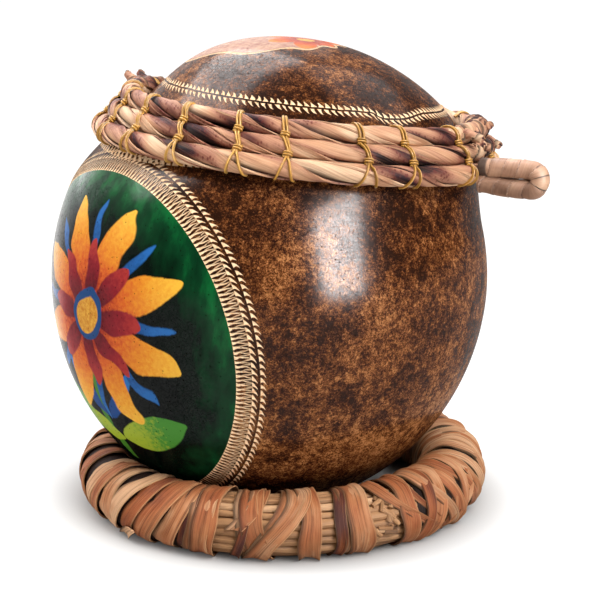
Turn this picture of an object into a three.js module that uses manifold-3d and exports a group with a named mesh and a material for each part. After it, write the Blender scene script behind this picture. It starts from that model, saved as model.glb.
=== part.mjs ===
// Painted gourd box. A dried gourd is cut into a bowl and a lid. Three twisted leaf coils are sewn round the
// lid's edge and hang over the bowl's mouth, with a wrapped loop to lift the lid by. The bowl stands on its
// flattened foot inside a ring of straw bound with leaf strip. Millimetres, +Z up, +X towards the lift loop,
// origin on the table at the middle of the gourd's foot.
import * as THREE from "three";
import { mergeVertices } from "three/addons/utils/BufferGeometryUtils.js";
import Module from "manifold-3d";

// Gourd
const GOURD_RADIUS = 75; // half the width at the belly
const GOURD_CROWN = 81.5; // belly to the top of the lid, along the gourd's own axis
const GOURD_FOOT = 80.5; // belly to the bottom, before the foot is flattened
const SHOULDER_POWER = 1.9; // 2 is an ellipse; a little less draws the shoulder in
const BELLY_POWER = 2;
const LID_POWER = 2.2; // the lid is rounder than the shoulder it was cut from
const LID_RADIUS = 69.6; // half the width the lid's curve would have, carried down to the belly
const GOURD_BELLY_HEIGHT = 79; // belly above the table
const GOURD_BELLY_SIDE = 0.65; // belly's middle, to +X of the foot's middle
const GOURD_WALL = 4.5;
const GOURD_TILT = THREE.MathUtils.degToRad(6); // the gourd leans towards +X
const SHOULDER_LEAN = 5.7; // the shoulder also grew this far to one side
const CROWN_RETURN = 0.55; // share of that lean lost again at the crown
const LID_CUT = 50; // saw cut above the belly
const TOUCHING_GAP = 0.35; // left between pieces that touch

// Rim
const COIL_RADIUS = 3.15;
const COIL_PITCH = 6.6; // from one coil to the next, along the gourd's skin
const COIL_COUNT = 3;
const TOP_COIL_LEVEL = 54.7; // where the top coil lies against the lid, above the belly
const COIL_STRANDS = 2;
const COIL_TWISTS = 11; // full twists in one round
const COIL_GROOVE = 0.26; // groove between strands, as a share of the coil's radius
const THREAD_RADIUS = 0.38;
const THREAD_GAP = 0.32; // thread to coil
const STITCH_COUNT = 20;
const STITCH_SLANT = 0.035; // radians of slant from one coil to the next

// Lift loop
const LOOP_AZIMUTH = THREE.MathUtils.degToRad(-30);
const LOOP_DROOP = THREE.MathUtils.degToRad(-4); // against the gourd's own tilt
const LOOP_CORD_RADIUS = 3.1;
const LOOP_LENGTH = 20;
const LOOP_WRAPS = 7; // turns of leaf round each limb
const LOOP_WRAP_STEP = 0.35; // how far each turn stands over the last

// Base ring
const RING_CENTRE = new THREE.Vector2(4.65, -1); // the gourd sits a little to one side in its ring
const RING_RADIUS = 60.2; // to the middle of the straw bundle
const RING_HEIGHT = 10.2; // middle of the bundle above the table
const BUNDLE_RADIUS = 9;
const BUNDLE_STRAWS = 6; // straws that show as ridges
const STRAW_GROOVE = 0.7;
const WRAP_TURNS = 34;
const WRAP_LOW = 10.3; // wrapping's outside where a turn dips under the next
const WRAP_HIGH = 11.1; // and at its upper edge
const WINDOW_SIZE = new THREE.Vector3(8, 5.5, 9); // gap in the wrapping: depth, along the ring, round the tube
// Gaps where the straw shows: angle along the ring, and angle up from the outward side, in degrees
const WRAP_WINDOWS = [[-106, -12], [-94, 42], [-73, 4], [-53, 10], [38, 8], [96, 30], [152, -6], [205, 12]];

const FULL_TURN = 2 * Math.PI;
const FLOOR_BLOCK = 60; // half-size of the block that trims what would reach under the table

const wasm = await Module();
wasm.setup();

// Solids

// The geometry with only its positions, and with shared corners joined
function joined(geometry) {
  geometry.deleteAttribute("normal");
  geometry.deleteAttribute("uv");
  return mergeVertices(geometry, 1e-4);
}

function solid(geometry) {
  const closed = joined(geometry);
  return new wasm.Manifold(
    new wasm.Mesh({
      numProp: 3,
      vertProperties: new Float32Array(closed.attributes.position.array),
      triVerts: new Uint32Array(closed.index.array),
    }),
  );
}

function geometryOf(manifold) {
  const mesh = manifold.getMesh();
  const geometry = new THREE.BufferGeometry();
  geometry.setAttribute("position", new THREE.BufferAttribute(mesh.vertProperties, mesh.numProp));
  geometry.setIndex(new THREE.BufferAttribute(mesh.triVerts, 1));
  return geometry;
}

// A torus whose points are put where place(point, along, around) says
function shapedTorus(alongSteps, aroundSteps, place) {
  const torus = new THREE.TorusGeometry(1, 0.5, aroundSteps, alongSteps);
  const position = torus.getAttribute("position");
  const point = new THREE.Vector3();
  for (let j = 0, n = 0; j <= aroundSteps; j += 1) {
    for (let i = 0; i <= alongSteps; i += 1, n += 1) {
      place(point, i, (FULL_TURN * j) / aroundSteps);
      position.setXYZ(n, point.x, point.y, point.z);
    }
  }
  return joined(torus);
}

function mesh(name, geometry, color, roughness) {
  const material = new THREE.MeshStandardMaterial({ color, roughness, metalness: 0 });
  const made = new THREE.Mesh(geometry, material);
  made.name = name;
  return made;
}

// Gourd: its own frame has the belly at height 0 and its axis along +Z

const gourdFrame = new THREE.Group();
gourdFrame.position.set(GOURD_BELLY_SIDE, 0, GOURD_BELLY_HEIGHT);
gourdFrame.rotation.y = GOURD_TILT;
gourdFrame.updateMatrixWorld(true);
const tableToGourd = gourdFrame.matrixWorld.clone().invert();

// How far the gourd's middle line has moved to +X at this height
function lean(height) {
  const shoulder = THREE.MathUtils.smoothstep(height, 0.5 * LID_CUT, 1.1 * LID_CUT);
  const top = THREE.MathUtils.smoothstep(height, 1.2 * LID_CUT, GOURD_CROWN);
  return SHOULDER_LEAN * shoulder * (1 - CROWN_RETURN * top);
}

// Curves the outline follows: half-width and reach from the belly's middle, and bluntness
const lowerBowl = { radius: GOURD_RADIUS, reach: GOURD_FOOT, power: BELLY_POWER };
const upperBowl = { radius: GOURD_RADIUS, reach: GOURD_CROWN, power: SHOULDER_POWER };
const lidDome = { radius: LID_RADIUS, reach: GOURD_CROWN, power: LID_POWER };

// Point of a curve, drawn in by inset, at an angle above the belly
function outline({ radius, reach, power }, angle, inset) {
  const out = Math.abs(Math.cos(angle)) ** (2 / power);
  const up = Math.sign(angle) * Math.abs(Math.sin(angle)) ** (2 / power);
  return new THREE.Vector2((radius - inset) * out, (reach - inset) * up);
}

// Stretch of the outline below the belly, or of the given curve above it
function outlineStretch(upper, from, to, steps, inset) {
  return Array.from({ length: steps + 1 }, (_, i) => {
    const angle = from + ((to - from) * i) / steps;
    return outline(angle < 0 ? lowerBowl : upper, angle, inset);
  });
}

// Angle at which a curve comes to a height
const cutAngle = ({ reach, power }, height, inset) => Math.asin((height / (reach - inset)) ** (power / 2));

// Turns a half outline round the gourd's axis and gives it the crown's lean
function turned(profile, steps) {
  profile.forEach((point) => {
    if (point.x < 1e-6) point.x = 0;
  });
  const geometry = new THREE.LatheGeometry(profile, steps);
  geometry.rotateX(Math.PI / 2);
  const position = geometry.getAttribute("position");
  for (let i = 0; i < position.count; i += 1) {
    position.setX(i, position.getX(i) + lean(position.getZ(i)));
  }
  return geometry;
}

const GOURD_STEPS = 40;
const bottom = -Math.PI / 2;
const crown = Math.PI / 2;

function underTable() {
  const block = new THREE.BoxGeometry(4 * FLOOR_BLOCK, 4 * FLOOR_BLOCK, 2 * FLOOR_BLOCK);
  return block.translate(0, 0, -FLOOR_BLOCK);
}

function bowl() {
  const edge = LID_CUT - TOUCHING_GAP / 2;
  const profile = [
    ...outlineStretch(upperBowl, bottom, cutAngle(upperBowl, edge, 0), 16, 0),
    ...outlineStretch(upperBowl, cutAngle(upperBowl, edge, GOURD_WALL), bottom, 13, GOURD_WALL),
  ];
  const whole = solid(turned(profile, GOURD_STEPS));
  return geometryOf(whole.subtract(solid(underTable().applyMatrix4(tableToGourd))));
}

function lid() {
  const edge = LID_CUT + TOUCHING_GAP / 2;
  const profile = [
    ...outlineStretch(lidDome, crown, cutAngle(lidDome, edge, GOURD_WALL), 7, GOURD_WALL),
    ...outlineStretch(lidDome, cutAngle(lidDome, edge, 0), crown, 8, 0),
  ];
  return joined(turned(profile, GOURD_STEPS));
}

const gourdBowl = mesh("gourd_bowl", bowl(), 0x5a3418, 0.35);
const gourdLid = mesh("gourd_lid", lid(), 0x5a3418, 0.35);

// Rim: coils lie one under the other along the gourd's skin

const coilGap = 1.4 * TOUCHING_GAP + 2 * THREAD_RADIUS + THREAD_GAP; // room for the thread behind the coils

// Middle of each coil in the half plane through the axis, with the skin's outward and downward directions
const coilSections = [];
for (let level = TOP_COIL_LEVEL; coilSections.length < COIL_COUNT; ) {
  const curve = level > LID_CUT ? lidDome : upperBowl;
  const skin = outline(curve, cutAngle(curve, level, 0), 0);
  const slope = (distance, reach) => (distance / reach) ** (curve.power - 1) / reach;
  const out = new THREE.Vector2(slope(skin.x, curve.radius), slope(skin.y, curve.reach)).normalize();
  const down = new THREE.Vector2(out.y, -out.x);
  coilSections.push({ middle: skin.clone().addScaledVector(out, COIL_RADIUS + coilGap), out, down });
  level -= COIL_PITCH * out.x;
}

// A point of that half plane, turned round the gourd's axis
function onRim(section, angle, point) {
  return point.set(lean(section.y) + section.x * Math.cos(angle), section.x * Math.sin(angle), section.y);
}

const COIL_STEPS = 66;
const COIL_SIDES = 8;

function coil({ middle }, start) {
  const section = new THREE.Vector2();
  return shapedTorus(COIL_STEPS, COIL_SIDES, (point, i, around) => {
    const angle = (FULL_TURN * i) / COIL_STEPS;
    const strand = COIL_STRANDS * (around - COIL_TWISTS * angle) + start;
    const radius = COIL_RADIUS * (1 - (COIL_GROOVE * (1 - Math.cos(strand))) / 2);
    section.set(middle.x + radius * Math.cos(around), middle.y + radius * Math.sin(around));
    onRim(section, angle, point);
  });
}

const coilNames = ["rim_coil_upper", "rim_coil_middle", "rim_coil_lower"];
const coils = coilSections.map((section, i) => mesh(coilNames[i], coil(section, 1.7 * i), 0xc79d74, 0.75));

// One sewing thread: a round behind the coils, with a stitch over all of them at each step

const THREAD_SIDES = 4;
const STITCH_STEPS = 18;
const ROUND_STEPS = 50;

function stitch(angle) {
  const reach = COIL_RADIUS + THREAD_GAP + THREAD_RADIUS;
  const [first, last] = [coilSections[0], coilSections[COIL_COUNT - 1]];
  const round = (section, degrees) => {
    const turn = THREE.MathUtils.degToRad(degrees);
    const across = section.out.clone().multiplyScalar(reach * Math.cos(turn));
    return section.middle.clone().add(across).addScaledVector(section.down, reach * Math.sin(turn));
  };
  const path = [
    ...[-135, -90, -45].map((degrees) => ({ at: round(first, degrees), coil: 0 })),
    ...coilSections.map((section, i) => ({ at: round(section, 0), coil: i })),
    ...[45, 90, 135].map((degrees) => ({ at: round(last, degrees), coil: COIL_COUNT - 1 })),
    ...coilSections.map((section, i) => ({ at: round(section, 180), coil: i })).reverse(),
  ];
  const slanted = path.map((step) => {
    const turn = angle + STITCH_SLANT * (step.coil - 1);
    return onRim(step.at, turn, new THREE.Vector3());
  });
  const curve = new THREE.CatmullRomCurve3(slanted, true, "centripetal");
  return solid(new THREE.TubeGeometry(curve, STITCH_STEPS, THREAD_RADIUS, THREAD_SIDES, true));
}

function stitching() {
  const { middle, out } = coilSections[1];
  const behind = middle.clone().addScaledVector(out, -(COIL_RADIUS + THREAD_GAP + THREAD_RADIUS));
  const points = Array.from({ length: ROUND_STEPS }, (_, i) =>
    onRim(behind, (FULL_TURN * i) / ROUND_STEPS, new THREE.Vector3()),
  );
  const round = new THREE.CatmullRomCurve3(points, true);
  let thread = solid(new THREE.TubeGeometry(round, ROUND_STEPS, THREAD_RADIUS, THREAD_SIDES, true));
  for (let i = 0; i < STITCH_COUNT; i += 1) {
    const wander = 0.12 * Math.sin(2.4 * i);
    thread = thread.add(stitch(LOOP_AZIMUTH + (FULL_TURN * (i + 0.5 + wander)) / STITCH_COUNT));
  }
  return geometryOf(thread);
}

const rimStitching = mesh("rim_stitching", stitching(), 0xd2a24a, 0.6);

// Lift loop: a leaf-bound cord doubled back on itself, standing out from the lowest coil

function loopLimb(height) {
  const profile = [new THREE.Vector2(0, 0)];
  for (let i = 0; i < LOOP_WRAPS; i += 1) {
    const start = (LOOP_LENGTH * i) / LOOP_WRAPS;
    const end = (LOOP_LENGTH * (i + 0.94)) / LOOP_WRAPS;
    profile.push(new THREE.Vector2(LOOP_CORD_RADIUS - LOOP_WRAP_STEP, start));
    profile.push(new THREE.Vector2(LOOP_CORD_RADIUS, end));
  }
  profile.push(new THREE.Vector2(LOOP_CORD_RADIUS - LOOP_WRAP_STEP, LOOP_LENGTH));
  profile.push(new THREE.Vector2(0, LOOP_LENGTH));
  const limb = new THREE.LatheGeometry(profile, 10);
  limb.rotateZ(-Math.PI / 2);
  return limb.translate(0, 0, height);
}

function liftLoop() {
  const spread = LOOP_CORD_RADIUS - 0.25; // the two limbs press together
  const bend = new THREE.CapsuleGeometry(LOOP_CORD_RADIUS, 2 * spread, 4, 10);
  bend.rotateX(Math.PI / 2);
  bend.translate(LOOP_LENGTH, 0, 0);
  return geometryOf(solid(loopLimb(spread)).add(solid(loopLimb(-spread))).add(solid(bend)));
}

const loopFrame = new THREE.Group();
const lowestCoil = coilSections[COIL_COUNT - 1].middle;
const loopRoot = lowestCoil.clone();
loopRoot.x += COIL_RADIUS + TOUCHING_GAP + 0.6;
onRim(loopRoot, LOOP_AZIMUTH, loopFrame.position);
loopFrame.rotation.set(0, LOOP_DROOP, LOOP_AZIMUTH, "ZYX");
loopFrame.add(mesh("lift_loop", liftLoop(), 0xc9a07c, 0.6));

gourdFrame.add(gourdBowl, gourdLid, ...coils, rimStitching, loopFrame);

// Base ring: a straw bundle bent round and bound with leaf strip

function onRing(angle, around, radius, point) {
  const reach = RING_RADIUS + radius * Math.cos(around);
  return point.set(
    RING_CENTRE.x + reach * Math.cos(angle),
    RING_CENTRE.y + reach * Math.sin(angle),
    RING_HEIGHT + radius * Math.sin(around),
  );
}

const BUNDLE_STEPS = 40;
const BUNDLE_SIDES = 2 * BUNDLE_STRAWS;

function strawBundle() {
  return shapedTorus(BUNDLE_STEPS, BUNDLE_SIDES, (point, i, around) => {
    const ridge = (1 + Math.cos(BUNDLE_STRAWS * around)) / 2;
    const radius = BUNDLE_RADIUS - STRAW_GROOVE * (1 - ridge);
    onRing((FULL_TURN * i) / BUNDLE_STEPS, around, radius, point);
  });
}

// Across one turn of the strip: share of its width, and share of its full height
const WRAP_STEPS = [[0, 1], [0.5, 0.55], [0.95, 0]];
const WRAP_SIDES = 10;

// The strip winds on as it goes round the tube, so a turn ends where the next begins
function wrapOutside() {
  const columns = WRAP_TURNS * WRAP_STEPS.length;
  return shapedTorus(columns, WRAP_SIDES, (point, i, around) => {
    const [share, height] = WRAP_STEPS[i % WRAP_STEPS.length];
    const turn = Math.floor(i / WRAP_STEPS.length) - around / FULL_TURN;
    const phase = (FULL_TURN * turn) / WRAP_TURNS;
    const wander = 0.14 * Math.sin(13 * phase) + 0.1 * Math.sin(21 * phase + 1);
    const angle = (FULL_TURN * (turn + share + wander)) / WRAP_TURNS;
    onRing(angle, around, WRAP_LOW + (WRAP_HIGH - WRAP_LOW) * height, point);
  });
}

function wrapInside() {
  return shapedTorus(BUNDLE_STEPS, BUNDLE_SIDES, (point, i, around) => {
    onRing((FULL_TURN * i) / BUNDLE_STEPS, around, BUNDLE_RADIUS + TOUCHING_GAP, point);
  });
}

function wrapWindow([alongDegrees, upDegrees]) {
  const angle = THREE.MathUtils.degToRad(alongDegrees);
  const around = THREE.MathUtils.degToRad(upDegrees);
  const block = new THREE.BoxGeometry(WINDOW_SIZE.x, WINDOW_SIZE.y, WINDOW_SIZE.z);
  block.translate(BUNDLE_RADIUS + WINDOW_SIZE.x / 2 - 1.5, 0, 0);
  block.rotateY(-around);
  block.translate(RING_RADIUS, 0, 0);
  block.rotateZ(angle);
  return block.translate(RING_CENTRE.x, RING_CENTRE.y, RING_HEIGHT);
}

// The gourd presses its own shape into the soft wrapping
function gourdSeat() {
  const belly = turned(outlineStretch(upperBowl, bottom, crown, 20, -TOUCHING_GAP), GOURD_STEPS);
  return belly.applyMatrix4(gourdFrame.matrixWorld);
}

function leafWrapping() {
  let wrapping = solid(wrapOutside()).subtract(solid(wrapInside()));
  wrapping = wrapping.subtract(solid(underTable())).subtract(solid(gourdSeat()));
  WRAP_WINDOWS.forEach((place) => {
    wrapping = wrapping.subtract(solid(wrapWindow(place)));
  });
  return geometryOf(wrapping);
}

const ringStraw = mesh("ring_straw_bundle", strawBundle(), 0xc8a06a, 0.8);
const ringWrapping = mesh("ring_leaf_wrapping", leafWrapping(), 0x9a6746, 0.7);

const paintedGourd = new THREE.Group();
paintedGourd.add(gourdFrame, ringStraw, ringWrapping);

export default paintedGourd;
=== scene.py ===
import math

import bpy
import numpy as np
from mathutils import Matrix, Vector


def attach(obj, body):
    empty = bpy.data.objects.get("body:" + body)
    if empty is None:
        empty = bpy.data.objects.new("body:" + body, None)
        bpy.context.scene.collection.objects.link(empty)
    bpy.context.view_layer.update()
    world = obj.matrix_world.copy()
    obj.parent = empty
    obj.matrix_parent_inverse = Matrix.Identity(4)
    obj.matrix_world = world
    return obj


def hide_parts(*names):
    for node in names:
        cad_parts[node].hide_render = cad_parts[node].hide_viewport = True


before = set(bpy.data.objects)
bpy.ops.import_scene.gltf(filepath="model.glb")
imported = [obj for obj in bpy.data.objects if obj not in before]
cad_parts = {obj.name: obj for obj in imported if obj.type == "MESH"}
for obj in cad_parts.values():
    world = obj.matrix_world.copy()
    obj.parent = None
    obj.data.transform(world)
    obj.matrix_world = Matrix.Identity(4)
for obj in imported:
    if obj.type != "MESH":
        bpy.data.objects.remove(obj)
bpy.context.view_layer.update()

# Gourd bowl. The lower part of a round gourd, dried and hollowed to a hard shell. Its skin is mottled brown under
# clear lacquer. A round panel at the front is painted, and the borders are cut through the skin into the pale
# shell. The bowl stands on its flattened foot, pushed down into the ring.

bowl_radius, bowl_foot, gourd_crown = 75.0, 80.5, 81.5
belly_power, shoulder_power = 2.0, 1.9
shell = 4.5
lid_cut, lid_gap = 50.0, 0.35
gourd_tilt, belly_side, belly_height = math.radians(6), 0.65, 79.0
shoulder_lean, crown_return = 5.7, 0.55
round_steps, shell_crease = 240, 35
full_turn = 2 * math.pi


def smooth(low, high, value):
    share = np.clip((value - low) / (high - low), 0, 1)
    return share * share * (3 - 2 * share)


def lean(height):
    """How far the gourd's middle line has grown to +X at a height above the belly."""
    shoulder = smooth(0.5 * lid_cut, 1.1 * lid_cut, height)
    return shoulder_lean * shoulder * (1 - crown_return * smooth(1.2 * lid_cut, gourd_crown, height))


def in_place(points):
    """Millimetres in the gourd's own frame to metres where the gourd stands."""
    x, y, z = np.moveaxis(np.asarray(points, float), -1, 0)
    cos, sin = math.cos(gourd_tilt), math.sin(gourd_tilt)
    return np.stack([belly_side + cos * x + sin * z, y, belly_height - sin * x + cos * z], axis=-1) / 1000


def outline(angle, radius, reach, power):
    """Half-width and height of the gourd's outline at angles above the belly."""
    out = np.abs(np.cos(angle)) ** (2 / power)
    up = np.sign(angle) * np.abs(np.sin(angle)) ** (2 / power)
    return np.stack([radius * out, reach * up], axis=-1)


def angle_at(height, reach, power):
    return math.asin((height / reach) ** (power / 2))


def turned(profile):
    """A profile turned round the gourd's axis, with the slight unevenness of a grown thing."""
    radius, height = profile[:, :1], profile[:, 1:]
    angle = np.linspace(0, full_turn, round_steps, endpoint=False)
    swell = 0.2 * np.sin(3 * angle + 1.3 + 0.02 * height) + 0.12 * np.sin(5 * angle - 0.04 * height)
    radius = radius + swell * smooth(2, 25, radius)
    points = np.stack([lean(height) + radius * np.cos(angle), radius * np.sin(angle), height + 0 * angle], axis=-1)
    return in_place(points)


def quads(rows, columns, wrap_rows, wrap_columns):
    down = np.arange(rows if wrap_rows else rows - 1)[:, None]
    across = np.arange(columns if wrap_columns else columns - 1)[None, :]
    next_down, next_across = (down + 1) % rows, (across + 1) % columns
    corners = [down * columns + across, down * columns + next_across,
               next_down * columns + next_across, next_down * columns + across]
    return np.stack(corners, axis=-1).reshape(-1, 4)


def build(name, sheets, finish, node_names, crease=40):
    """One piece from grids of points. A sheet holds points, and may hold grain, ends to close and wrapping."""
    points, grain, faces, start = [], [], [], 0
    for sheet in sheets:
        rows, columns = sheet["points"].shape[:2]
        wrap_rows, wrap_columns = sheet.get("wrap", (False, True))
        points.append(sheet["points"].reshape(-1, 3))
        grain.append(sheet.get("grain", np.zeros((rows, columns, 3))).reshape(-1, 3))
        faces += (quads(rows, columns, wrap_rows, wrap_columns) + start).tolist()
        if sheet.get("ends", False):
            faces.append([start + i for i in reversed(range(columns))])
            faces.append([start + (rows - 1) * columns + i for i in range(columns)])
        start += rows * columns
    mesh = bpy.data.meshes.new(name)
    mesh.from_pydata(np.concatenate(points).tolist(), [], faces)
    mesh.attributes.new("grain", "FLOAT_VECTOR", "POINT").data.foreach_set("vector", np.concatenate(grain).ravel())
    mesh.polygons.foreach_set("use_smooth", [True] * len(mesh.polygons))
    mesh.set_sharp_from_angle(angle=math.radians(crease))
    mesh.update()
    made = bpy.data.objects.new(name, mesh)
    bpy.context.scene.collection.objects.link(made)
    mesh.materials.append(finish)
    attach(made, "root")
    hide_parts(*node_names)
    return made


class Shade:
    """A shader value. Sums on it add the nodes that work them out; | and & take the larger and the smaller."""

    def __init__(self, tree, socket=None):
        self.tree = tree
        self.socket = socket

    def fill(self, node, values):
        for key, value in values.items():
            if isinstance(value, Shade):
                self.tree.links.new(value.socket, node.inputs[key])
            else:
                node.inputs[key].default_value = value

    def add(self, kind, settings=(), values=(), out=0):
        node = self.tree.nodes.new("ShaderNode" + kind)
        for key, value in dict(settings).items():
            if key == "stops":
                ramp = node.color_ramp.elements
                ramp.remove(ramp[1])
                ramp[0].position, ramp[0].color = value[0]
                for place, colour in value[1:]:
                    ramp.new(place).color = colour
            else:
                setattr(node, key, value)
        self.fill(node, dict(values))
        return Shade(self.tree, node.outputs[out])

    def math(self, operation, *values):
        return self.add("Math", {"operation": operation}, dict(enumerate(values)))

    def __add__(self, other):
        return self.math("ADD", self, other)

    __radd__ = __add__

    def __sub__(self, other):
        return self.math("SUBTRACT", self, other)

    def __rsub__(self, other):
        return self.math("SUBTRACT", other, self)

    def __mul__(self, other):
        return self.math("MULTIPLY", self, other)

    __rmul__ = __mul__

    def __truediv__(self, other):
        return self.math("DIVIDE", self, other)

    def __rtruediv__(self, other):
        return self.math("DIVIDE", other, self)

    def __pow__(self, other):
        return self.math("POWER", self, other)

    def __rpow__(self, other):
        return self.math("POWER", other, self)

    def __or__(self, other):
        return self.math("MAXIMUM", self, other)

    __ror__ = __or__

    def __and__(self, other):
        return self.math("MINIMUM", self, other)

    __rand__ = __and__

    def __abs__(self):
        return self.math("ABSOLUTE", self)


def paint(code):
    """A colour of six hex digits, as the shader's own red, green and blue."""
    parts = [int(code[i:i + 2], 16) / 255 for i in (0, 2, 4)]
    linear = [c / 12.92 if c <= 0.04045 else ((c + 0.055) / 1.055) ** 2.4 for c in parts]
    return (*linear, 1.0)


def new_finish(name):
    finish = bpy.data.materials.new(name)
    finish.use_nodes = True
    return finish, Shade(finish.node_tree)


def surface(shade, **values):
    node = shade.tree.nodes["Principled BSDF"]
    shade.fill(node, {key.replace("_", " "): value for key, value in values.items()})


def rise(value, low, high):
    """0 below low, 1 above high, and smooth between."""
    return value.add("MapRange", {"interpolation_type": "SMOOTHSTEP"}, {0: value, 1: low, 2: high})


def blend(share, first, second):
    return share.add("Mix", {"data_type": "RGBA"}, {0: share, 6: first, 7: second}, out=2)


def ramp(value, *stops):
    return value.add("ValToRGB", {"stops": [(place, paint(code)) for place, code in stops]}, {0: value})


def cloud(place, scale, detail=3.0, roughness=0.55, stretch=None):
    if stretch:
        place = place.add("VectorMath", {"operation": "MULTIPLY"}, {0: place, 1: stretch})
    return place.add("TexNoise", {}, {"Vector": place, "Scale": scale, "Detail": detail, "Roughness": roughness})


def cells(place, scale, feature="F1"):
    return place.add("TexVoronoi", {"feature": feature}, {"Vector": place, "Scale": scale}, out="Distance")


def along(place, direction):
    return place.add("VectorMath", {"operation": "DOT_PRODUCT"}, {0: place, 1: direction}, out="Value")


def bump(shade, height, depth=1.0):
    """A normal from heights in millimetres."""
    return shade.add("Bump", {}, {"Strength": depth, "Distance": 0.001, "Height": height})


def gourd_place(shade):
    """Where a point is in the gourd's own frame, in millimetres."""
    where = shade.add("TexCoord", out="Object")
    settings = {"Vector": where, "Location": (belly_side / 1000, 0, belly_height / 1000),
                "Rotation": (0, gourd_tilt, 0), "Scale": (0.001, 0.001, 0.001)}
    return shade.add("Mapping", {"vector_type": "TEXTURE"}, settings)


skin_tones = (0.36, "211008"), (0.45, "361b0d"), (0.53, "502b15"), (0.62, "6f4222"), (0.76, "a06c40")


def skin(place):
    """Colour of the lacquered skin: fine speckle, with smoky dark clouds and a few warm ones."""
    smoke = cloud(place, 0.04, 4.0, 0.65)
    fleck = cloud(place, 0.42, 3.0, 0.7)
    fine = cloud(place, 1.3, 2.0, 0.7)
    grit = cloud(place, 3.0, 1.0)
    tone = fleck * 0.65 + fine * 0.65 + grit * 0.5 + smoke * 0.75 - 0.77
    soot = rise(cloud(place, 0.075, 5.0, 0.7), 0.48, 0.62) * 0.14
    down = along(place, (0, 0, -1))
    # Below the belly the tone is lifted a little: painted light on the lower bowl.
    colour = ramp(tone - soot + rise(down, 0, 45) * 0.085, *skin_tones)
    # Nearest the foot the colour is blended toward near-black: painted shade.
    return blend(rise(down, 45, 76) * 0.5, colour, paint("150a05"))


cut_dark = paint("1d0e07")
panel_azimuth, panel_dip = math.radians(-55), math.radians(-16.7)
panel_out = (math.sin(panel_azimuth) * math.cos(panel_dip), -math.cos(panel_azimuth) * math.cos(panel_dip),
             math.sin(panel_dip))
panel_right = (math.cos(panel_azimuth), math.sin(panel_azimuth), 0.0)
panel_up = tuple(-Vector(panel_right).cross(Vector(panel_out)).normalized())
panel_reach, panel_stretch, panel_turn = 0.818, 0.031, 0.433
border_teeth, under_rim_teeth = 165, 150
under_rim_low, under_rim_high, under_rim_sag = 43.4, 46.2, 3.6
panel_gloss = 0.85


def wedge_row(step, across, low, high, width, slant, curl=0.0):
    """Teeth in a row, wide at one edge and pointed at the other; across runs from low to high."""
    share = (across - low) / (high - low)
    leaning = step + share * slant + share * share * curl
    place = leaning.math("FRACT", leaning)
    tooth = rise(width * (1 - share) + 0.06 - abs(place - 0.5), -0.06, 0.06)
    return tooth * rise(share, -0.04, 0.04) * (1 - rise(share, 0.96, 1.04))


def band(value, low, high, soft=0.12):
    return rise(value, low - soft, low + soft) * (1 - rise(value, high - soft, high + soft))


def panel_border(step, across):
    """Etched rows round the painted panel, by distance out from its edge: how cut, and how dark."""
    hem = wedge_row(step * 1.4, across, -0.2, 1.2, 0.36, 0.3)
    inner = wedge_row(step * 1.4, across, 0.0, 4.6, 0.17, 0.5)
    outer = wedge_row(step * 1.4 + 0.75, 4.9 - across, 0.0, 4.6, 0.1, 0.35)
    leaf = wedge_row(step, across, 4.7, 6.4, 0.32, 0.2, 0.6)
    feather = wedge_row(step + 0.4, across, 7.3, 9.0, 0.3, -0.1, 0.8)
    cut = hem | inner * 0.88 | outer * 0.6 | leaf | feather
    dark = band(across, 0.0, 6.8, 0.3) * 0.3 | band(across, 6.65, 7.15) * 0.7
    return cut, dark


def lens(along_it, across_it, length, width, blunt=0.65):
    """A leaf or petal shape: 1 inside it. along_it runs from its foot to its tip."""
    share = along_it / length
    inside = (share | 0.0) & 1.0
    edge = (4 * inside * (1 - inside)) ** blunt * (width / 2)
    held = rise(share, 0.0, 0.01) * (1 - rise(share, 0.99, 1.0))
    return rise(edge - abs(across_it), -0.3, 0.5) * held, inside


def length_of(right, up):
    square = right * right + up * up
    return square.math("SQRT", square)


def petal_ring(right, up, count, turn, start, length, width):
    """A ring of like petals about a middle point."""
    reach = length_of(right, up)
    angle = right.math("ARCTAN2", up, right)
    step = angle * (count / full_turn) + turn
    folded = (step.math("FRACT", step) - 0.5) * (full_turn / count)
    out = reach * folded.math("COSINE", folded)
    side = reach * folded.math("SINE", folded)
    return lens(out - start, side, length, width)


def turned_axes(right, up, foot, angle):
    cos, sin = math.cos(angle), math.sin(angle)
    right, up = right - foot[0], up - foot[1]
    return right * cos + up * sin, up * cos - right * sin


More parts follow.
